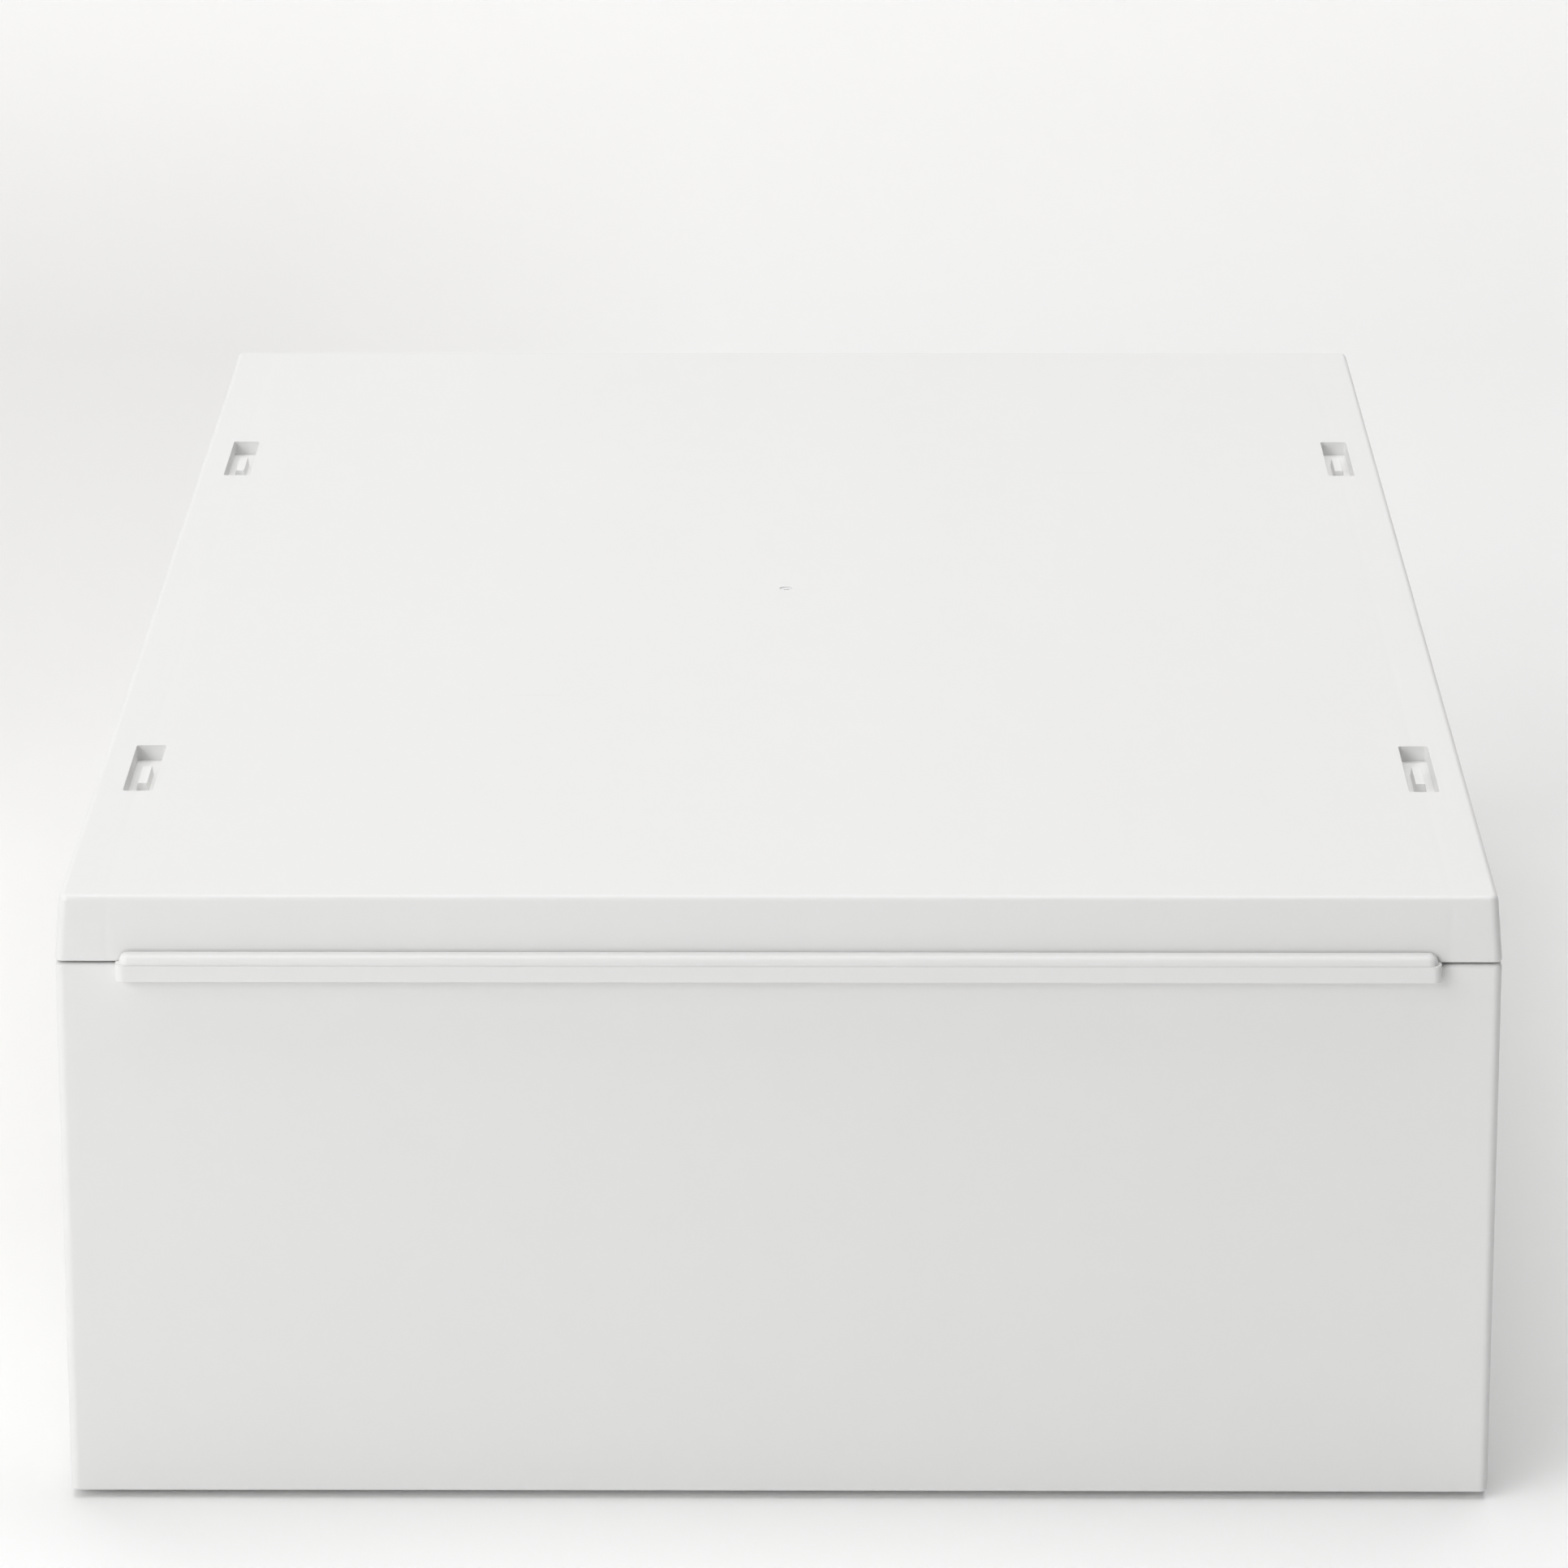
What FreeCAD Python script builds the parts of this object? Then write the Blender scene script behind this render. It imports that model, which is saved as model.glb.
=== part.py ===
import FreeCAD, Part
import math
import os

# Stacking drawer case in white polypropylene: an outer case with one deep drawer.
#
# The case is built from panels: a drafted top cover with a skirt all round, two side panels and
# a back panel that tuck up inside the skirt, and a base with two runners that snaps in between
# them. The drawer is a tray staked to a hollow front, which covers the full width of the case
# and carries a long lip as its handle. Four feet are pushed into the base, under the four
# sockets of the top, so that the feet of a case stacked above drop into the case below.
#
# Frame: millimetres, +Z up, the drawer opens towards -Y. The origin is on the floor, midway
# between the outermost points in X and in Y.

V = FreeCAD.Vector

# ---- overall size ----
width = 400.0            # across the case and the drawer front
depth = 650.0            # from the handle's face to the back of the case
height = 178.0           # from the floor to the top face
foot_height = 2.0        # how far the feet hold the case off the floor

# ---- top cover ----
case_wall = 2.2
top_wall = 2.5
corner_radius = 2.5      # upright corners of the case and of the drawer front
inner_corner_radius = 0.3
top_edge_radius = 1.7
skirt_height = 18.65     # from the top face down to the gap over the drawer
skirt_edge_radius = 0.6
edge_land = 0.05         # upright strip between the leaning skirt and each of its rounded edges
skirt_lean = 1.3         # how far the skirt leans in from its lower edge to the top
gate_radius = 2.0        # shallow well in the middle of the top, where the mould was filled
gate_depth = 0.3
gate_nib_radius = 0.9    # the cut-off sprue in the well
gate_nib_height = 0.2
rail_flange_depth = 8.0  # flange behind the front of the skirt
rail_flange_wall = 2.0

# ---- stacking sockets in the top ----
socket_width = 8.6
socket_length = 46.0
socket_depth = 4.6
socket_wall = 1.8
socket_corner_radius = 1.0
socket_side_inset = 14.3     # from the widest side of the case to the socket's middle
socket_front_inset = 124.0   # from the front face to the front sockets' middle
socket_back_inset = 156.0    # from the back face to the rear sockets' middle
post_width = 2.8
post_length = 17.5
post_height = 2.6            # leaves room for the foot of the case above
post_taper = 0.3
side_rib_width = 1.4
side_rib_depth = 6.0

# ---- side and back panels ----
corner_return = 15.0         # how far a side panel turns the rear corner
panel_clearance = 0.1        # between panels that meet
tongue_wall = 2.0            # the part of a panel that tucks up inside the skirt
tongue_rise = 9.0
tongue_drop = 7.0
tongue_clearance = 0.2
tongue_front_inset = 15.0    # the side tongues start this far behind the panel's front edge
back_lap = 12.0              # how far the back panel laps behind a corner return

# ---- base ----
base_wall = 2.2
base_clearance = 0.15        # between the base and the panels that it snaps into
upstand_height = 5.4
upstand_wall = 2.0
sill_height = 2.6
sill_wall = 2.0
runner_spacing = 340.0       # between the middles of the two runners
runner_width = 4.0
runner_height = 3.0
base_rib_width = 1.4
base_rib_height = 2.3
base_rib_field = 290.0       # width of the ribbed middle of the base
base_cross_ribs = 5
snap_length = 20.0
snap_height = 3.0
snap_reach = 1.0
snap_clearance = 0.2
snaps_per_side = 3
snaps_at_back = 2

# ---- push-in feet ----
foot_clearance = 0.35        # between a foot and the sides of the socket below
foot_chamfer = 0.4
stem_width = 5.0
stem_length = 36.0
stem_clearance = 0.1
head_overhang = 0.8
head_height = 1.2

# ---- drawer front ----
front_plate = 2.5
front_depth = 12.0           # plate and flange together
front_flange = 2.0
front_top_flange = 1.5
drawer_gap = 0.7             # between the skirt and the drawer front
front_gap = 0.4              # between the drawer front's flange and the case
front_top_radius = 1.0
front_bottom_radius = 0.8
bottom_relief = 0.2          # the shallow step in the drawer front's lower edge
bottom_relief_width = 294.0
front_ribs = 6
front_rib_width = 1.4
stake_radius = 2.4
stake_boss_radius = 4.5
stake_head_radius = 3.8
stake_head = 1.2
stake_clearance = 0.1
stake_inset = 32.0           # from the floor and from the rim of the tray to the rows of stakes
stakes_per_row = 4

# ---- drawer tray ----
tray_wall = 2.0
tray_floor = 2.2
tray_front_gap = 2.1         # from the front plate to the tray
tray_side_inset = 10.0       # from the side of the drawer front to the tray's wall, at the top
tray_back_gap = 12.8         # from the tray's back, at the top, to the inside of the case
tray_draft = 4.0             # how much the walls lean in from the top to the floor
tray_corner_radius = 14.0
rim_width = 3.0
rim_height = 2.0
rim_drop = 2.3               # the rim lies this far below the top of the drawer front
slide_clearance = 0.3        # between the tray and the runners
guide_width = 1.6
guide_height = 2.3
guide_clearance = 0.8

# ---- drawer travel and stops ----
travel = 500.0               # how far the drawer opens
stop_clearance = 0.3
stop_width = 9.0
stop_thickness = 6.0
stop_lap = 4.5               # how far the drawer's tab and the case's stop lap in height
stop_setback = 14.5          # from the front face to the case's stop
stop_peg_radius = 1.8
stop_peg_length = 5.0
stop_boss_radius = 3.6
stop_boss_height = 6.0
stop_peg_clearance = 0.1

# ---- handle lip ----
handle_length = 366.0
handle_reach = 5.0           # how far it stands out from the drawer front
handle_rise = 3.4            # its top edge, above the middle of the gap
handle_drop = 4.05           # its lower edge, below the middle of the gap
bead_height = 2.7            # the round bead along the top of the lip
bead_round = 2.4
bead_step = 0.25             # how far the bead stands back from the lip's face
bead_end_inset = 1.0         # from the end of the lip to the end of its bead
handle_clearance = 0.4       # behind the bead, to the skirt
handle_end_radius = 2.4      # of the ends, seen from above
handle_wall = 1.8
handle_back_wall = 1.2       # behind the groove that hollows the lip from below
handle_roof = 1.8
clip_width = 14.0
clip_wall = 1.6
clip_hook = 0.8
clip_hook_length = 1.2
clip_clearance = 0.15
clips = 6

# ---- worked out from the sizes above ----
back_y = depth / 2
front_y = handle_reach - depth / 2
floor_z = foot_height
base_z = floor_z + base_wall
skirt_z = height - skirt_height
gap_z = skirt_z - drawer_gap / 2
front_top_z = skirt_z - drawer_gap
half = width / 2
inner_half = half - case_wall
panel_front_y = front_y + front_depth + front_gap
inner_back_y = back_y - case_wall
ceiling_z = height - top_wall
socket_x = half - socket_side_inset
socket_ys = (front_y + socket_front_inset, back_y - socket_back_inset)
skirt_slope = skirt_lean / skirt_height
tongue_top_z = skirt_z + tongue_rise
tongue_outset = case_wall + skirt_slope * tongue_rise + tongue_clearance
runner_x = runner_spacing / 2
runner_z = base_z + runner_height
tray_z = runner_z + slide_clearance
rim_z = front_top_z - rim_drop
tray_half = half - tray_side_inset
tray_front_y = front_y + front_plate + tray_front_gap
tray_back_y = inner_back_y - tray_back_gap
rim_half = tray_half + rim_width
stop_y = front_y + stop_setback
stop_low_z = skirt_z + rail_flange_wall / 2
tab_y = stop_y + stop_thickness + travel + stop_clearance
stop_x = rim_half - stop_width / 2
stake_xs = [tray_half * (2 * n + 1 - stakes_per_row) / stakes_per_row for n in range(stakes_per_row)]
stake_zs = (tray_z + stake_inset, rim_z - stake_inset)
clip_z = front_top_z - front_top_flange - clip_clearance - clip_wall


def box(x0, y0, z0, x1, y1, z1):
    """A box from its lowest to its highest corner."""
    return Part.makeBox(x1 - x0, y1 - y0, z1 - z0, V(x0, y0, z0))


def rod(x, y, z, radius, length):
    """An upright cylinder from the middle of its lower end."""
    return Part.makeCylinder(radius, length, V(x, y, z))


def lying_rod(x, y, z, radius, length):
    """A cylinder along Y from the middle of its front end."""
    return Part.makeCylinder(radius, length, V(x, y, z), V(0, 1, 0))


def arc(centre, radius, start_deg, end_deg, z):
    """An arc in a level plane."""
    points = []
    for deg in (start_deg, (start_deg + end_deg) / 2, end_deg):
        a = math.radians(deg)
        points.append(V(centre[0] + radius * math.cos(a), centre[1] + radius * math.sin(a), z))
    return Part.Arc(*points).toShape()


def round_outline(x0, y0, x1, y1, radius, z):
    """A level rectangle with four round corners, as a wire."""
    r = radius
    corners = [((x1 - r, y1 - r), 0), ((x0 + r, y1 - r), 90),
               ((x0 + r, y0 + r), 180), ((x1 - r, y0 + r), 270)]
    arcs = [arc(centre, r, start, start + 90, z) for centre, start in corners]
    edges = []
    for here, following in zip(arcs, arcs[1:] + arcs[:1]):
        edges.append(here)
        edges.append(Part.makeLine(here.lastVertex().Point, following.firstVertex().Point))
    return Part.Wire(edges)


def round_prism(x0, y0, x1, y1, radius, z0, z1):
    """An upright block with round corners."""
    return Part.Face(round_outline(x0, y0, x1, y1, radius, z0)).extrude(V(0, 0, z1 - z0))


def leaning_block(low, high, radius, z0, z1):
    """A block whose walls lean, blended between its outlines (x0, y0, x1, y1) at z0 and z1."""
    return Part.makeLoft([round_outline(*low, radius, z0), round_outline(*high, radius, z1)], True, True)


def flat_sided_block(low, high, radius, z0, z1):
    """The same, with exactly flat walls and its upright edges rounded afterwards: for large blocks."""
    x0, y0, x1, y1 = low
    u0, v0, u1, v1 = high
    start_x, start_y = min(x0, u0) - 1, min(y0, v0) - 1
    across = [V(x0, start_y, z0), V(x1, start_y, z0), V(u1, start_y, z1), V(u0, start_y, z1)]
    along = [V(start_x, y0, z0), V(start_x, y1, z0), V(start_x, v1, z1), V(start_x, v0, z1)]
    block = Part.Face(Part.makePolygon(across + across[:1])).extrude(V(0, max(y1, v1) - start_y + 1, 0))
    other = Part.Face(Part.makePolygon(along + along[:1])).extrude(V(max(x1, u1) - start_x + 1, 0, 0))
    block = block.common(other)
    uprights = [e for e in block.Edges if abs(e.Vertexes[0].Point.z - e.Vertexes[1].Point.z) > 1e-6]
    return block.makeFillet(radius, uprights)


def inset(outline, by):
    """An outline (x0, y0, x1, y1) brought in on all four sides."""
    x0, y0, x1, y1 = outline
    return x0 + by, y0 + by, x1 - by, y1 - by


def edges_where(shape, test):
    """The edges with both ends and the middle passing a test of a point."""
    found = []
    for edge in shape.Edges:
        middle = edge.valueAt((edge.FirstParameter + edge.LastParameter) / 2)
        if all(test(p) for p in [v.Point for v in edge.Vertexes] + [middle]):
            found.append(edge)
    return found


def mirrored(shape):
    """The shape's other hand, across the case."""
    return shape.mirror(V(0, 0, 0), V(1, 0, 0))


def both_sides(shape):
    """The shape and its mirror image."""
    return [shape, mirrored(shape)]


def joined(first, *rest):
    """One solid from several that touch."""
    return first.fuse(list(rest)).removeSplitter() if rest else first


def spread(count, low, high):
    """Places evenly spaced between two limits, with half a step left at each end."""
    step = (high - low) / count
    return [low + step * (n + 0.5) for n in range(count)]


# ---- top cover ----

def case_outline():
    return -half, front_y, half, back_y


def socket_block(y):
    """The block under the top that holds one right-hand socket."""
    x_half = socket_width / 2 + socket_wall
    y_half = socket_length / 2 + socket_wall
    low_z = height - socket_depth - socket_wall
    return box(socket_x - x_half, y - y_half, low_z, socket_x + x_half, y + y_half, ceiling_z + 0.5)


def socket_pocket(y):
    """The empty space of one right-hand socket, around its post."""
    x_half, y_half = socket_width / 2, socket_length / 2
    low_z = height - socket_depth
    pocket = round_prism(socket_x - x_half, y - y_half, socket_x + x_half, y + y_half,
                         socket_corner_radius, low_z, height + 1)
    top = (socket_x - post_width / 2, y - post_length / 2, socket_x + post_width / 2, y + post_length / 2)
    post = leaning_block(inset(top, -post_taper), top, post_taper, low_z, low_z + post_height)
    return pocket.cut(post)


def cover_block():
    """The cover's outer shape: a leaning skirt between an upright lower edge and an upright top edge."""
    outline = case_outline()
    low_z = skirt_z + skirt_edge_radius + edge_land
    high_z = height - top_edge_radius - edge_land
    top = inset(outline, skirt_lean)
    lower = round_prism(*outline, corner_radius, skirt_z, low_z)
    lower = lower.makeFillet(skirt_edge_radius, edges_where(lower, lambda p: abs(p.z - skirt_z) < 1e-4))
    upper = round_prism(*top, corner_radius, high_z, height)
    upper = upper.makeFillet(top_edge_radius, edges_where(upper, lambda p: abs(p.z - height) < 1e-4))
    return lower.fuse([leaning_block(outline, top, corner_radius, low_z, high_z), upper])


def make_top_cover():
    outline = case_outline()
    outer = cover_block()
    inside = inset(outline, case_wall)
    room_lean = skirt_slope * (ceiling_z - skirt_z)
    room = leaning_block(inset(inside, -skirt_slope), inset(inside, room_lean), inner_corner_radius,
                         skirt_z - 1, ceiling_z)
    cover = outer.cut(room)
    buried = case_wall / 2
    added = [box(-inner_half - buried / 2, front_y + buried, skirt_z, inner_half + buried / 2,
                 front_y + case_wall + rail_flange_depth, skirt_z + rail_flange_wall)]
    added += both_sides(box(socket_x - side_rib_width / 2, front_y + skirt_lean + buried,
                            ceiling_z - side_rib_depth, socket_x + side_rib_width / 2,
                            back_y - skirt_lean - buried, ceiling_z + buried))
    for y in socket_ys:
        added += both_sides(socket_block(y))
    boss_z = ceiling_z - stop_boss_height
    boss_y = stop_y + stop_thickness / 2
    added += both_sides(rod(stop_x, boss_y, boss_z, stop_boss_radius, stop_boss_height + buried))
    cover = joined(cover, *added)
    removed = both_sides(rod(stop_x, boss_y, boss_z - 1, stop_peg_radius + stop_peg_clearance,
                             1 + stop_peg_length + stop_peg_clearance))
    for y in socket_ys:
        removed += both_sides(socket_pocket(y))
    middle_y = (front_y + back_y) / 2
    well = rod(0, middle_y, height - gate_depth, gate_radius, gate_depth + 1)
    nib = rod(0, middle_y, height - gate_depth - 1, gate_nib_radius, 1 + gate_nib_height)
    removed.append(well.cut(nib))
    return cover.cut(removed)


def make_stop():
    """The right-hand stop: a block that hangs behind the rail from a peg in the cover's boss."""
    top_z = ceiling_z - stop_boss_height - stop_peg_clearance
    middle_y = stop_y + stop_thickness / 2
    block = box(stop_x - stop_width / 2, stop_y, stop_low_z, stop_x + stop_width / 2,
                stop_y + stop_thickness, top_z)
    block = block.makeChamfer(0.6, edges_where(block, lambda p: abs(p.z - stop_low_z) < 1e-4))
    return joined(block, rod(stop_x, middle_y, top_z, stop_peg_radius, stop_peg_length))


# ---- side and back panels ----

def snap_places():
    """Middles of the base's snaps along each side, and along the back."""
    side_ys = spread(snaps_per_side, panel_front_y, inner_back_y)
    return side_ys, spread(snaps_at_back, -inner_half, inner_half)


def snaps(clearance):
    """The snap bumps of the base, or with a clearance the recesses that take them."""
    z0 = base_z + (upstand_height - snap_height) / 2 - clearance
    z1 = z0 + snap_height + 2 * clearance
    long_half = snap_length / 2 + clearance
    face_x = inner_half - base_clearance
    face_y = inner_back_y - base_clearance
    side_ys, back_xs = snap_places()
    found = []
    for y in side_ys:
        found += both_sides(box(face_x - 0.5, y - long_half, z0,
                                face_x + snap_reach + clearance, y + long_half, z1))
    for x in back_xs:
        found.append(box(x - long_half, face_y - 0.5, z0,
                         x + long_half, face_y + snap_reach + clearance, z1))
    return found


def make_side_panel():
    """The right-hand side panel: a wall, its rear corner return and a tongue for the skirt."""
    top_z = skirt_z - panel_clearance
    wall = box(inner_half, panel_front_y, floor_z, half, back_y, top_z)
    turn = box(half - corner_return, inner_back_y, floor_z, half, back_y, top_z)
    panel = joined(wall, turn)
    corner = edges_where(panel, lambda p: abs(p.x - half) < 1e-4 and abs(p.y - back_y) < 1e-4)
    panel = panel.makeFillet(corner_radius, corner)
    tongue_x = half - tongue_outset
    tongue_y = back_y - tongue_outset - tongue_wall
    front = panel_front_y + tongue_front_inset
    tongue = box(tongue_x - tongue_wall, front, skirt_z - tongue_drop, tongue_x, tongue_y, tongue_top_z)
    web = box(tongue_x - tongue_wall, front, skirt_z - tongue_drop, half - case_wall / 2, tongue_y, top_z)
    return joined(panel, tongue, web).cut(snaps(snap_clearance))


def make_back_panel():
    """The back panel, flush between the corner returns and lapped behind them."""
    edge_x = half - corner_return - panel_clearance
    top_z = skirt_z - panel_clearance
    lap_y = inner_back_y - panel_clearance
    plate = box(-edge_x, inner_back_y, floor_z, edge_x, back_y, top_z)
    lap = box(-edge_x - back_lap, lap_y - tongue_wall, base_z + upstand_height + panel_clearance,
              edge_x + back_lap, lap_y, skirt_z - tongue_drop - panel_clearance)
    bond = box(-edge_x, lap_y - tongue_wall, base_z + upstand_height + panel_clearance,
               edge_x, inner_back_y + 0.5, skirt_z - tongue_drop)
    tongue_y = back_y - tongue_outset
    tongue = box(-edge_x, tongue_y - tongue_wall, skirt_z - tongue_drop - 1, edge_x, tongue_y, tongue_top_z)
    web = box(-edge_x, tongue_y - tongue_wall, skirt_z - tongue_drop - 1, edge_x, inner_back_y + 0.5, top_z)
    return joined(plate, lap, bond, tongue, web).cut(snaps(snap_clearance))


# ---- base ----

def make_base():
    x1 = inner_half - base_clearance
    y0, y1 = panel_front_y, inner_back_y - base_clearance
    plate = box(-x1, y0, floor_z, x1, y1, base_z)
    wall = box(-x1, y0, floor_z, x1, y1, base_z + upstand_height)
    wall = wall.cut(box(-x1 + upstand_wall, y0 - 1, floor_z - 1, x1 - upstand_wall, y1 - upstand_wall,
                        base_z + upstand_height + 1))
    parts = [wall] + snaps(0)
    for x in (-runner_x, runner_x):
        parts.append(box(x - runner_width / 2, y0, floor_z,
                         x + runner_width / 2, y1 - upstand_wall, runner_z))
    field = base_rib_field / 2
    rib_z = base_z + base_rib_height
    parts.append(box(-field, y0, floor_z, field, y0 + sill_wall, base_z + sill_height))
    for y in spread(base_cross_ribs, y0 + sill_wall, y1):
        parts.append(box(-field, y - base_rib_width / 2, floor_z, field, y + base_rib_width / 2, rib_z))
    for x in (-field / 2, 0, field / 2):
        parts.append(box(x - base_rib_width / 2, y0, floor_z, x + base_rib_width / 2, y1 - 1, rib_z))
    base = joined(plate, *parts)
    holes = []
    x_half = stem_width / 2 + stem_clearance
    y_half = stem_length / 2 + stem_clearance
    for y in socket_ys:
        holes += both_sides(box(socket_x - x_half, y - y_half, 0,
                                socket_x + x_half, y + y_half, base_z + 1))
    return base.cut(holes)


def make_foot(x, y):
    """A push-in foot: its pad under the base, a stem through it and a head above it."""
    pad_x = socket_width / 2 - foot_clearance
    pad_y = socket_length / 2 - foot_clearance
    pad = round_prism(x - pad_x, y - pad_y, x + pad_x, y + pad_y, socket_corner_radius, 0, floor_z)
    pad = pad.makeChamfer(foot_chamfer, edges_where(pad, lambda p: abs(p.z) < 1e-4))
    stem_outline = (x - stem_width / 2, y - stem_length / 2, x + stem_width / 2, y + stem_length / 2)
    stem = round_prism(*stem_outline, 0.5, floor_z, base_z)
    head = leaning_block(inset(stem_outline, -head_overhang), stem_outline, 0.5,
                         base_z, base_z + head_height)
    return joined(pad, stem, head)


# ---- drawer front ----

def make_drawer_front():
    """The hollow front of the drawer: plate, flange, ribs and the stakes that hold the tray."""
    r = corner_radius
    y0, y1 = front_y, front_y + front_depth
    plan = Part.Wire([
        Part.makeLine(V(-half, y1, floor_z), V(-half, y0 + r, floor_z)),
        arc((-half + r, y0 + r), r, 180, 270, floor_z),
        Part.makeLine(V(-half + r, y0, floor_z), V(half - r, y0, floor_z)),
        arc((half - r, y0 + r), r, 270, 360, floor_z),
        Part.makeLine(V(half, y0 + r, floor_z), V(half, y1, floor_z)),
        Part.makeLine(V(half, y1, floor_z), V(-half, y1, floor_z)),
    ])
    block = Part.Face(plan).extrude(V(0, 0, front_top_z - floor_z))

    def outer_edges(z):
        return edges_where(block, lambda p: abs(p.z - z) < 1e-4
                           and (p.y < y1 - 1e-3 or abs(p.x) > half - 1e-4))

    block = block.makeFillet(front_top_radius, outer_edges(front_top_z))
    block = block.makeFillet(front_bottom_radius, outer_edges(floor_z))
    hollow = box(-half + front_flange, y0 + front_plate, floor_z + front_flange,
                 half - front_flange, y1 + 1, front_top_z - front_top_flange)
    relief = box(-bottom_relief_width / 2, y0 - 1, floor_z - 1, bottom_relief_width / 2, y1 + 1,
                 floor_z + bottom_relief)
    slots = []
    for x in clip_xs():
        x_half = clip_width / 2 + clip_clearance
        slots.append(box(x - x_half, y0 - 1, clip_z - clip_clearance, x + x_half, y0 + front_plate + 1,
                         clip_z + clip_wall + clip_clearance))
    block = block.cut([hollow, relief] + slots)
    plate_y = y0 + front_plate / 2
    inner_y = y0 + front_plate
    added = []
    for x in spread(front_ribs, -half, half):
        added.append(box(x - front_rib_width / 2, plate_y, floor_z + front_flange / 2,
                         x + front_rib_width / 2, tray_front_y - panel_clearance, clip_z - clip_hook - 1))
    for x in stake_xs:
        for z in stake_zs:
            boss_end = tray_front_y - panel_clearance
            added.append(lying_rod(x, plate_y, z, stake_boss_radius, boss_end - plate_y))
            added.append(lying_rod(x, plate_y, z, stake_radius, tray_front_y + tray_wall + 0.5 - plate_y))
            added.append(lying_rod(x, tray_front_y + tray_wall + panel_clearance, z,
                                   stake_head_radius, stake_head))
    return joined(block, *added)


def clip_xs():
    """Middles of the clips along the handle."""
    return spread(clips, -handle_length / 2, handle_length / 2)


def make_handle():
    """The handle lip: a bar with a bead along its top, hollow below, and its clips."""
    face_y = front_y - handle_reach
    bead_back_y = front_y - handle_clearance
    seat_y = front_y - panel_clearance
    seat_z = front_top_z - front_top_radius
    top_z = gap_z + handle_rise
    low_z = gap_z - handle_drop
    bead_z = top_z - bead_height
    x1 = handle_length / 2
    bar = round_prism(-x1, face_y, x1, front_y + handle_reach, handle_end_radius, low_z, bead_z)
    bar = bar.cut([box(-width, seat_y, 0, width, 0, height),
                   box(-width, bead_back_y, seat_z, width, 0, height)])
    bead_x = x1 - bead_end_inset
    bead = round_prism(-bead_x, face_y + bead_step, bead_x, front_y + handle_reach, bead_round + 0.1,
                       bead_z - bead_height / 2, top_z)
    bead = bead.makeFillet(bead_round, edges_where(bead, lambda p: abs(p.z - top_z) < 1e-4))
    bead = bead.cut(box(-width, bead_back_y, 0, width, 0, height))
    groove = box(-x1 + handle_wall, face_y + handle_wall, low_z - 1, x1 - handle_wall,
                 seat_y - handle_back_wall, top_z - handle_roof)
    lip = joined(bar, bead).cut(groove)
    added = []
    hook_y = front_y + front_plate + panel_clearance
    for x in clip_xs():
        added.append(box(x - clip_width / 2, seat_y - handle_back_wall / 2, clip_z, x + clip_width / 2,
                         hook_y + clip_hook_length, clip_z + clip_wall))
        added.append(box(x - clip_width / 2, hook_y, clip_z - clip_hook, x + clip_width / 2,
                         hook_y + clip_hook_length, clip_z + clip_wall))
    return joined(lip, *added)


# ---- drawer tray ----

def tray_outline(z):
    """The tray's outer outline at a height: its sides and back narrow towards the floor."""
    lean = tray_draft * (rim_z - z) / (rim_z - tray_z)
    return -tray_half + lean, tray_front_y, tray_half - lean, tray_back_y - lean


def make_drawer_tray():
    outer = flat_sided_block(tray_outline(tray_z), tray_outline(rim_z), tray_corner_radius, tray_z, rim_z)
    floor_top = tray_z + tray_floor
    room = flat_sided_block(inset(tray_outline(floor_top), tray_wall),
                            inset(tray_outline(rim_z + 1), tray_wall),
                            tray_corner_radius - tray_wall, floor_top, rim_z + 1)
    holes = []
    for x in stake_xs:
        for z in stake_zs:
            holes.append(lying_rod(x, tray_front_y - 1, z, stake_radius + stake_clearance, tray_wall + 2))
    tray = outer.cut(room).cut(holes)
    buried = tray_wall / 2
    rim = round_prism(-rim_half, tray_front_y + buried / 2, rim_half, tray_back_y + rim_width,
                      tray_corner_radius + rim_width, rim_z - rim_height, rim_z)
    middle = inset(tray_outline(rim_z), buried)
    parts = [rim.cut(round_prism(*middle, tray_corner_radius - buried, rim_z - rim_height - 1, rim_z + 1))]
    for x in (-runner_x, runner_x):
        for side in (-1, 1):
            middle_x = x + side * (runner_width / 2 + guide_clearance + guide_width / 2)
            parts.append(box(middle_x - guide_width / 2, panel_front_y + tray_corner_radius,
                             tray_z - guide_height, middle_x + guide_width / 2,
                             tray_back_y - 3 * tray_corner_radius, tray_z + tray_floor / 2))
    parts += both_sides(box(stop_x - stop_width / 2 + rim_width, tab_y, rim_z - rim_height / 2,
                            stop_x + stop_width / 2, tab_y + stop_thickness, stop_low_z + stop_lap))
    return joined(tray, *parts)


# ---- all the pieces ----

def main():
    os.makedirs("parts", exist_ok=True)
    side_panel = make_side_panel()
    stop = make_stop()
    pieces = {
        "top_cover": make_top_cover(),
        "side_panel_left": mirrored(side_panel),
        "side_panel_right": side_panel,
        "back_panel": make_back_panel(),
        "base_panel": make_base(),
        "stop_left": mirrored(stop),
        "stop_right": stop,
        "drawer_front": make_drawer_front(),
        "handle": make_handle(),
        "drawer_tray": make_drawer_tray(),
    }
    for row, y in zip(("front", "rear"), socket_ys):
        for side, x in (("left", -socket_x), ("right", socket_x)):
            pieces["foot_" + row + "_" + side] = make_foot(x, y)
    for name, shape in pieces.items():
        solids = shape.Solids
        bounds = shape.BoundBox
        print(name, len(solids), "solid(s)", "valid" if shape.isValid() else "NOT VALID",
              round(shape.Volume / 1000, 1), "cm3,", [round(v, 2) for v in (
                  bounds.XMin, bounds.XMax, bounds.YMin, bounds.YMax, bounds.ZMin, bounds.ZMax)])
        whole = solids[0] if len(solids) == 1 else Part.makeCompound(solids)
        whole.exportStep("parts/" + name + ".step")


main()
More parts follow.
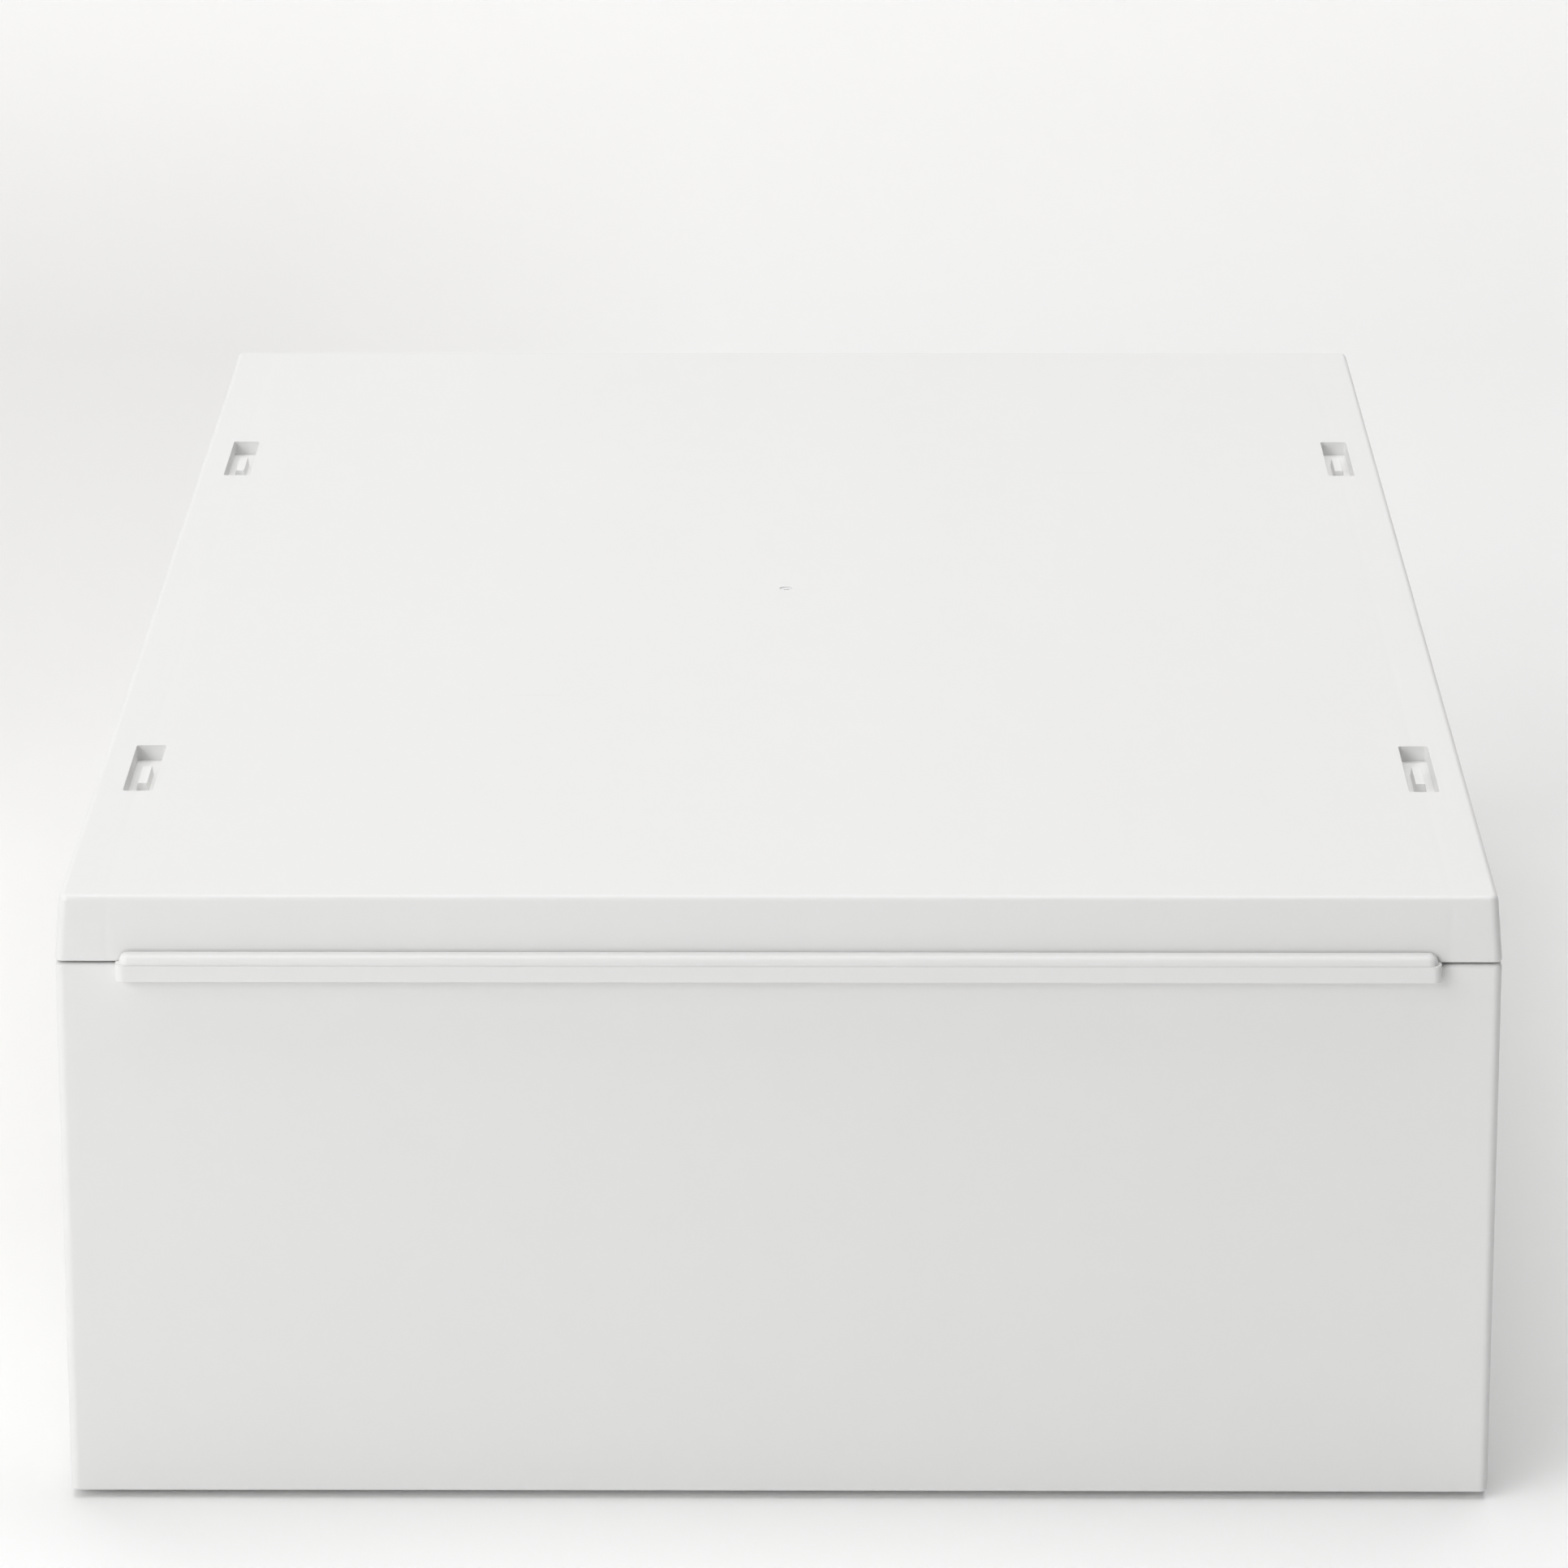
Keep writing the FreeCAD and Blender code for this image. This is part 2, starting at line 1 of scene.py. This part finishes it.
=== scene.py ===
import math
import bmesh
import bpy
from mathutils import Matrix, Vector


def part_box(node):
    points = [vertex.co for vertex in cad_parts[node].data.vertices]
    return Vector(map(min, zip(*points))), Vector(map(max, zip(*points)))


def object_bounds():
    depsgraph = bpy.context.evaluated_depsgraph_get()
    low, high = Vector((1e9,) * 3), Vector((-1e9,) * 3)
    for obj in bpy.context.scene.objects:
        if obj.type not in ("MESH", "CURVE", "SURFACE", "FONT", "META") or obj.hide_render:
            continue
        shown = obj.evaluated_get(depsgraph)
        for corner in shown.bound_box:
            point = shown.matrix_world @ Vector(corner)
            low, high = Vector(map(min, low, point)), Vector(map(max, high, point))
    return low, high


# White stacking drawer case on a seamless pale sweep, lit softly from the upper left.

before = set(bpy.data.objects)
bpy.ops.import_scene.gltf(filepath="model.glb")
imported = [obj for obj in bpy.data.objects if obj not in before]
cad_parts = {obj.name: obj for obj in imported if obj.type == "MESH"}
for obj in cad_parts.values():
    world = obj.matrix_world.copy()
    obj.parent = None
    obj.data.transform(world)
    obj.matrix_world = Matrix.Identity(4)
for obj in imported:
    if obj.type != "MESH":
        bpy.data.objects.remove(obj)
cadLow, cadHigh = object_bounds()
print("frame loaded:", len(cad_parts), "nodes")

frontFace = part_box("drawer_front")[0].y
caseMiddle = (cadLow + cadHigh) / 2


class Tree:
    # a material's nodes, added and linked from left to right
    def __init__(self, name):
        self.material = bpy.data.materials.new(name)
        self.material.use_nodes = True
        self.nodes = self.material.node_tree.nodes
        self.links = self.material.node_tree.links
        self.nodes.clear()
        self.column = 0

    def add(self, kind, **settings):
        node = self.nodes.new(kind)
        for key, value in settings.items():
            setattr(node, key, value)
        node.location = (self.column * 190, -(self.column % 4) * 160)
        self.column += 1
        return node

    def link(self, source, target):
        self.links.new(source, target)

    def math(self, operation, *values, clamp=False):
        node = self.add("ShaderNodeMath", operation=operation, use_clamp=clamp)
        for socket, value in zip(node.inputs, values):
            if isinstance(value, (int, float)):
                socket.default_value = value
            else:
                self.link(value, socket)
        return node.outputs[0]

    def noise(self, place, scale, detail=2.0, roughness=0.5):
        node = self.add("ShaderNodeTexNoise")
        node.inputs["Scale"].default_value = scale
        node.inputs["Detail"].default_value = detail
        node.inputs["Roughness"].default_value = roughness
        self.link(place, node.inputs["Vector"])
        return node.outputs["Fac"]

    def mapped(self, place, scale, shift=(0, 0, 0), turn=(0, 0, 0)):
        node = self.add("ShaderNodeMapping")
        node.inputs["Scale"].default_value = scale
        node.inputs["Location"].default_value = shift
        node.inputs["Rotation"].default_value = turn
        self.link(place, node.inputs["Vector"])
        return node.outputs["Vector"]

    def ridge(self, value, middle, width):
        # 1 at the middle, falling smoothly to near 0 two widths away
        away = self.math("DIVIDE", self.math("SUBTRACT", value, middle), width)
        square = self.math("MULTIPLY", away, away)
        return self.math("POWER", math.e, self.math("MULTIPLY", square, -1.0))

    def mix(self, factor, first, second):
        node = self.add("ShaderNodeMix", data_type="RGBA", clamp_factor=True)
        self.link(factor, node.inputs["Factor"])
        for socket, value in ((node.inputs[6], first), (node.inputs[7], second)):
            if isinstance(value, tuple):
                socket.default_value = (*value, 1.0)
            else:
                self.link(value, socket)
        return node.outputs[2]

    def bump(self, height, strength, distance, normal=None):
        node = self.add("ShaderNodeBump")
        node.inputs["Strength"].default_value = strength
        node.inputs["Distance"].default_value = distance
        self.link(height, node.inputs["Height"])
        if normal:
            self.link(normal, node.inputs["Normal"])
        return node.outputs[0]

    def finish(self, shader, colour, roughness, normal, clearBehind=False):
        self.link(colour, shader.inputs["Base Color"])
        self.link(roughness, shader.inputs["Roughness"])
        self.link(normal, shader.inputs["Normal"])
        surface = shader.outputs[0]
        if clearBehind:
            # a sheet that is seen from its front alone
            sheet = self.add("ShaderNodeMixShader")
            geometry = self.add("ShaderNodeNewGeometry")
            self.link(geometry.outputs["Backfacing"], sheet.inputs[0])
            self.link(surface, sheet.inputs[1])
            self.link(self.add("ShaderNodeBsdfTransparent").outputs[0], sheet.inputs[2])
            surface = sheet.outputs[0]
        output = self.add("ShaderNodeOutputMaterial")
        self.link(surface, output.inputs["Surface"])
        return self.material


plastic = {
    "colour": (0.83, 0.83, 0.825),        # clean polypropylene
    "warmDrift": (0.812, 0.81, 0.80),     # where the pigment runs slightly warm
    "scuff": (0.70, 0.70, 0.69),
    "speck": (0.42, 0.41, 0.39),
    "edge": (0.88, 0.88, 0.875),          # painted highlight: edges paler than the flat faces
    "edgeShare": 0.6,
    "roughness": 0.40,
    "specular": 0.45,
    "edgeRadius": 0.00035,
    "grainSize": 2600.0,                  # cells per metre of the etched mould texture
    "grainDepth": 0.000012,
    "waveDepth": 0.00025,                 # long shallow waves of a thin moulded wall
    "streak": (6.0, 1.2, 6.0),            # how the flow marks are stretched
    "sinkAt": None,                       # distance from the middle of the sink lines over ribs
    "sinkWidth": 0.0012,
    "sinkDepth": 0.00006,
    "specksPerMetre": 14.0,
    "speckRadius": 0.016,                 # share of a cell
    "emptyCells": 0.55,                   # share of the cells that hold none
    "scuffLimit": 0.735,                  # raise for fewer scuffs
    "scuffPatches": 0.56,                 # raise to keep them to fewer patches
    "translucency": 0.05,
}


def satinPlastic(name, **changes):
    look = {**plastic, **changes}
    tree = Tree(name)
    place = tree.add("ShaderNodeTexCoord").outputs["Object"]

    # edges are rounded off slightly, and how deep a point lies onto one sets a painted highlight there, a
    # paler colour
    bevel = tree.add("ShaderNodeBevel", samples=4)
    bevel.inputs["Radius"].default_value = look["edgeRadius"]
    geometry = tree.add("ShaderNodeNewGeometry")
    alike = tree.add("ShaderNodeVectorMath", operation="DOT_PRODUCT")
    tree.link(bevel.outputs[0], alike.inputs[0])
    tree.link(geometry.outputs["Normal"], alike.inputs[1])
    edge = tree.math("MULTIPLY", tree.math("SUBTRACT", 1.0, alike.outputs["Value"]), 3.0, clamp=True)

    # slow drift of the pigment, and flow marks
    drift = tree.noise(tree.mapped(place, (3.0, 3.0, 4.0), (1.7, 0.4, 2.2)), 1.0, 3.0)
    flow = tree.noise(tree.mapped(place, look["streak"]), 1.0, 4.0, 0.6)
    wash = tree.math("MULTIPLY_ADD", tree.math("ADD", flow, drift), 1.1, -0.6, clamp=True)
    colour = tree.mix(wash, look["colour"], look["warmDrift"])

    # scattered dust specks, each a small ragged dot in its own cell
    cells = tree.add("ShaderNodeTexVoronoi", feature="F1")
    cells.inputs["Scale"].default_value = look["specksPerMetre"]
    tree.link(place, cells.inputs["Vector"])
    ragged = tree.noise(place, 900.0, 2.0)
    reach = tree.math("MULTIPLY_ADD", ragged, look["speckRadius"], look["speckRadius"] * 0.3)
    dot = tree.math("LESS_THAN", cells.outputs["Distance"], reach)
    pick = tree.add("ShaderNodeSeparateColor")
    tree.link(cells.outputs["Color"], pick.inputs[0])
    chosen = tree.math("MULTIPLY", dot, tree.math("GREATER_THAN", pick.outputs[0], look["emptyCells"]))
    speck = tree.math("MULTIPLY", chosen, tree.math("MULTIPLY", pick.outputs[1], 0.55))
    colour = tree.mix(speck, colour, look["speck"])

    # hairline scuffs: thin, long, broken lines that turn the gloss matt
    hair = tree.noise(tree.mapped(place, (7.0, 90.0, 40.0), turn=(0.3, 0.2, 0.9)), 1.0, 3.0, 0.55)
    hair = tree.math("MULTIPLY", tree.math("SUBTRACT", hair, look["scuffLimit"]), 14.0, clamp=True)
    patches = tree.math("GREATER_THAN", tree.noise(place, 9.0, 1.0), look["scuffPatches"])
    scuff = tree.math("MULTIPLY", hair, patches)
    colour = tree.mix(tree.math("MULTIPLY", scuff, 0.35), colour, look["scuff"])
    # painted highlight: the edges made paler in colour
    colour = tree.mix(tree.math("MULTIPLY", edge, look["edgeShare"]), colour, look["edge"])

    # heights: mould grain, waves of the wall, scuffs and sink lines
    grain = tree.noise(place, look["grainSize"], 2.0, 0.6)
    waves = tree.noise(tree.mapped(place, (9.0, 7.0, 9.0), (0.3, 5.1, 0.8)), 1.0, 1.0)
    height = tree.math("MULTIPLY", grain, look["grainDepth"])
    height = tree.math("MULTIPLY_ADD", waves, look["waveDepth"], height)
    height = tree.math("MULTIPLY_ADD", scuff, -0.00001, height)
    if look["sinkAt"]:
        axes = tree.add("ShaderNodeSeparateXYZ")
        tree.link(place, axes.inputs[0])
        sink = tree.ridge(tree.math("ABSOLUTE", axes.outputs["X"]), look["sinkAt"], look["sinkWidth"])
        height = tree.math("MULTIPLY_ADD", sink, -look["sinkDepth"], height)

    gloss = tree.noise(place, 60.0, 4.0, 0.65)
    rough = tree.math("MULTIPLY_ADD", gloss, 0.10, look["roughness"] - 0.05)
    rough = tree.math("MULTIPLY_ADD", scuff, 0.12, rough)
    shader = tree.add("ShaderNodeBsdfPrincipled")
    shader.inputs["IOR"].default_value = 1.49
    shader.inputs["Specular IOR Level"].default_value = look["specular"]
    shader.inputs["Subsurface Weight"].default_value = look["translucency"]
    shader.inputs["Subsurface Radius"].default_value = (1.0, 0.9, 0.8)
    shader.inputs["Subsurface Scale"].default_value = 0.003
    return tree.finish(shader, colour, rough, tree.bump(height, 1.0, 1.0, bevel.outputs[0]))


rubber = {
    "pale": (0.70, 0.70, 0.69),
    "dark": (0.60, 0.60, 0.59),
    "grime": (0.34, 0.33, 0.32),
    "wornHeight": 0.0006,        # above the floor, where the pad has met it
    "specular": 0.3,
}


def softRubber(name):
    # matt rubber with a fine bloom, darker where it has met the floor
    tree = Tree(name)
    place = tree.add("ShaderNodeTexCoord").outputs["Object"]
    axes = tree.add("ShaderNodeSeparateXYZ")
    tree.link(place, axes.inputs[0])
    bloom = tree.noise(place, 420.0, 4.0, 0.7)
    colour = tree.mix(bloom, rubber["dark"], rubber["pale"])
    worn = tree.math("LESS_THAN", axes.outputs["Z"], rubber["wornHeight"])
    patchy = tree.math("MULTIPLY_ADD", tree.noise(place, 160.0, 3.0), 0.6, 0.1)
    colour = tree.mix(tree.math("MULTIPLY", worn, patchy), colour, rubber["grime"])
    shader = tree.add("ShaderNodeBsdfPrincipled")
    shader.inputs["Specular IOR Level"].default_value = rubber["specular"]
    rough = tree.math("MULTIPLY_ADD", bloom, 0.15, 0.68)
    return tree.finish(shader, colour, rough, tree.bump(tree.noise(place, 1500.0, 3.0), 0.4, 0.0001))


def footMiddle():
    # distance of the feet, and of the ribs over them, from the middle of the case
    low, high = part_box("foot_front_right")
    return (low.x + high.x) / 2


sides = satinPlastic("side plastic", streak=(6.0, 1.2, 9.0))
stops = satinPlastic("stop plastic", colour=(0.78, 0.78, 0.77))
feet = softRubber("foot rubber")
finishes = {
    "top_cover": satinPlastic("cover plastic", sinkAt=footMiddle()),
    "side_panel_left": sides,
    "side_panel_right": sides,
    "back_panel": satinPlastic("back plastic", streak=(1.5, 6.0, 9.0)),
    "base_panel": satinPlastic("base plastic", roughness=0.48, scuff=(0.62, 0.62, 0.61)),
    "stop_left": stops,
    "stop_right": stops,
    "foot_front_left": feet,
    "foot_front_right": feet,
    "foot_rear_left": feet,
    "foot_rear_right": feet,
    "drawer_front": satinPlastic("front plastic", streak=(1.6, 4.0, 5.0)),
    "handle": satinPlastic("handle plastic", roughness=0.36, streak=(1.2, 6.0, 30.0)),
    "drawer_tray": satinPlastic("tray plastic", colour=(0.80, 0.805, 0.80), roughness=0.44,
                                translucency=0.15),
}
for nodeName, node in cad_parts.items():
    for slot in node.material_slots:
        slot.material = finishes[nodeName]
print("finishes assigned")


sweep = {
    # paper tones with painted light at the front and back and painted shade at the left
    "nearPaintedLight": (0.965, 0.965, 0.962),
    "middleColour": (0.92, 0.918, 0.914),
    "farPaintedLight": (0.985, 0.98, 0.972),
    "leftPaintedShade": (0.84, 0.835, 0.825),
    "nearGlow": 0.03,        # painted light: a glow seen by the camera alone, so that it lights nothing
    "farGlow": 0.06,
    "halfWidth": 4.0,
    "front": -4.0,           # towards the camera
    "bendStart": 1.6,        # where the floor starts to rise
    "bendRadius": 1.2,
    "wallHeight": 4.5,
    "steps": 24,
    "roughness": 0.75,
    "specular": 0.25,
}


def makeSweep():
    # a floor that curves up into a backdrop
    mesh = bmesh.new()
    profile = [(sweep["front"], 0.0), (sweep["bendStart"], 0.0)]
    for step in range(1, sweep["steps"] + 1):
        turn = math.pi / 2 * step / sweep["steps"]
        profile.append((sweep["bendStart"] + sweep["bendRadius"] * math.sin(turn),
                        sweep["bendRadius"] * (1 - math.cos(turn))))
    profile.append((profile[-1][0], sweep["wallHeight"]))
    rows = []
    for y, z in profile:
        rows.append([mesh.verts.new((side * sweep["halfWidth"], y, z)) for side in (-1, 1)])
    for low, high in zip(rows, rows[1:]):
        mesh.faces.new((low[0], low[1], high[1], high[0]))
    data = bpy.data.meshes.new("sweep")
    mesh.to_mesh(data)
    mesh.free()
    for face in data.polygons:
        face.use_smooth = True
    floor = bpy.data.objects.new("sweep", data)
    bpy.context.scene.collection.objects.link(floor)
    floor.location.z = cadLow.z - 0.0002
    floor.data.materials.append(sweepPaper())
    return floor


def sweepPaper():
    tree = Tree("sweep paper")
    place = tree.add("ShaderNodeTexCoord").outputs["Object"]
    axes = tree.add("ShaderNodeSeparateXYZ")
    tree.link(place, axes.inputs[0])
    across, along = axes.outputs["X"], axes.outputs["Y"]
    cloud = tree.math("MULTIPLY", tree.math("SUBTRACT", tree.noise(place, 1.2, 2.0), 0.5), 0.25)

    # painted light and shade: the paper's tone drifts from front to back, painted lighter at the front
    # and up the back wall, and painted darker to the left beside the case
    middle = tree.math("MULTIPLY_ADD", along, 1.6, tree.math("ADD", cloud, 0.3), clamp=True)
    far = tree.math("MULTIPLY_ADD", along, 1.3, tree.math("SUBTRACT", cloud, 1.4), clamp=True)
    left = tree.math("MULTIPLY_ADD", across, -4.5, -0.2, clamp=True)
    left = tree.math("MULTIPLY", left, tree.math("MULTIPLY_ADD", along, 3.5, 1.3, clamp=True))
    colour = tree.mix(middle, sweep["nearPaintedLight"], sweep["middleColour"])
    colour = tree.mix(left, colour, sweep["leftPaintedShade"])
    colour = tree.mix(far, colour, sweep["farPaintedLight"])
    fibre = tree.noise(place, 300.0, 3.0)
    shader = tree.add("ShaderNodeBsdfPrincipled")
    shader.inputs["Specular IOR Level"].default_value = sweep["specular"]
    shader.inputs["Emission Color"].default_value = (1.0, 1.0, 1.0, 1.0)
    # painted light: a glow strongest at the front and rising again at the back
    glow = tree.math("MULTIPLY_ADD", middle, -sweep["nearGlow"], sweep["nearGlow"])
    glow = tree.math("MULTIPLY_ADD", far, sweep["farGlow"], glow)
    seen = tree.add("ShaderNodeLightPath").outputs["Is Camera Ray"]
    tree.link(tree.math("MULTIPLY", glow, seen), shader.inputs["Emission Strength"])
    rough = tree.math("MULTIPLY_ADD", fibre, 0.1, sweep["roughness"] - 0.05)
    return tree.finish(shader, colour, rough, tree.bump(fibre, 0.05, 0.0002), clearBehind=True)


makeSweep()
print("sweep made")


studio = {
    "skyColour": (1.0, 1.0, 0.995),
    "skyStrength": 0.10,
    "shownStrength": 0.90,   # pale where the camera sees past the sweep
    "boxes": {               # place from the case's middle, size and power
        "keyBox": ((-3.3, -1.3, 3.0), 2.2, 28.0),
        "overheadBox": ((0.0, 0.3, 3.2), 3.0, 77.0),
        "cameraBox": ((-1.8, -3.2, 1.2), 2.0, 40.0),
        "leftBox": ((-2.6, -2.6, 2.2), 2.0, 30.0),
    },
}


def softbox(name, place, size, power):
    # a square lamp aimed at the middle of the case
    light = bpy.data.lights.new(name, "AREA")
    light.shape = "SQUARE"
    light.size = size
    light.energy = power
    lamp = bpy.data.objects.new(name, light)
    bpy.context.scene.collection.objects.link(lamp)
    lamp.location = Vector(place) + Vector((caseMiddle.x, caseMiddle.y, 0))
    lamp.rotation_mode = "QUATERNION"
    lamp.rotation_quaternion = (caseMiddle - lamp.location).to_track_quat("-Z", "Y")


def makeSky():
    # dim where it lights the case, pale where the camera sees it
    world = bpy.data.worlds.new("studio")
    bpy.context.scene.world = world
    world.use_nodes = True
    nodes, links = world.node_tree.nodes, world.node_tree.links
    background = nodes["Background"]
    background.inputs["Color"].default_value = (*studio["skyColour"], 1.0)
    path = nodes.new("ShaderNodeLightPath")
    shown = nodes.new("ShaderNodeMath")
    shown.operation = "MAXIMUM"
    links.new(path.outputs["Is Camera Ray"], shown.inputs[0])
    links.new(path.outputs["Is Transmission Ray"], shown.inputs[1])
    strength = nodes.new("ShaderNodeMapRange")
    strength.inputs["To Min"].default_value = studio["skyStrength"]
    strength.inputs["To Max"].default_value = studio["shownStrength"]
    links.new(shown.outputs[0], strength.inputs["Value"])
    links.new(strength.outputs[0], background.inputs["Strength"])


makeSky()
for boxName, (place, size, power) in studio["boxes"].items():
    softbox(boxName, place, size, power)
print("lights placed")


viewpoint = {
    "aside": 0.01605,        # to the right of the case's middle
    "away": 1.92995,         # in front of the drawer's face
    "height": 0.79508,       # above the floor
    "pitch": 16.844,         # degrees down
    "turn": -0.426,          # degrees to the right
    "roll": 0.0727,          # degrees
    "lens": 168.89,          # millimetres on a 36 mm sensor
    "sensor": 36.0,
}


def makeCamera():
    # a long lens, a little above the case and almost straight in front
    data = bpy.data.cameras.new("camera")
    data.sensor_width = viewpoint["sensor"]
    data.lens = viewpoint["lens"]
    data.clip_start, data.clip_end = 0.05, 60.0
    camera = bpy.data.objects.new("camera", data)
    bpy.context.scene.collection.objects.link(camera)
    pitch, turn, roll = (math.radians(viewpoint[k]) for k in ("pitch", "turn", "roll"))
    ahead = Vector((math.sin(turn) * math.cos(pitch), math.cos(turn) * math.cos(pitch), -math.sin(pitch)))
    right = Vector((math.cos(turn), -math.sin(turn), 0))
    down = ahead.cross(right)
    right, down = (right * math.cos(roll) + down * math.sin(roll),
                   down * math.cos(roll) - right * math.sin(roll))
    facing = Matrix((right, -down, -ahead)).transposed()
    place = Vector((caseMiddle.x + viewpoint["aside"], frontFace - viewpoint["away"],
                    cadLow.z + viewpoint["height"]))
    camera.matrix_world = Matrix.Translation(place) @ facing.to_4x4()
    bpy.context.scene.camera = camera


makeCamera()
bpy.context.scene.view_settings.view_transform = "Standard"
print("camera placed")
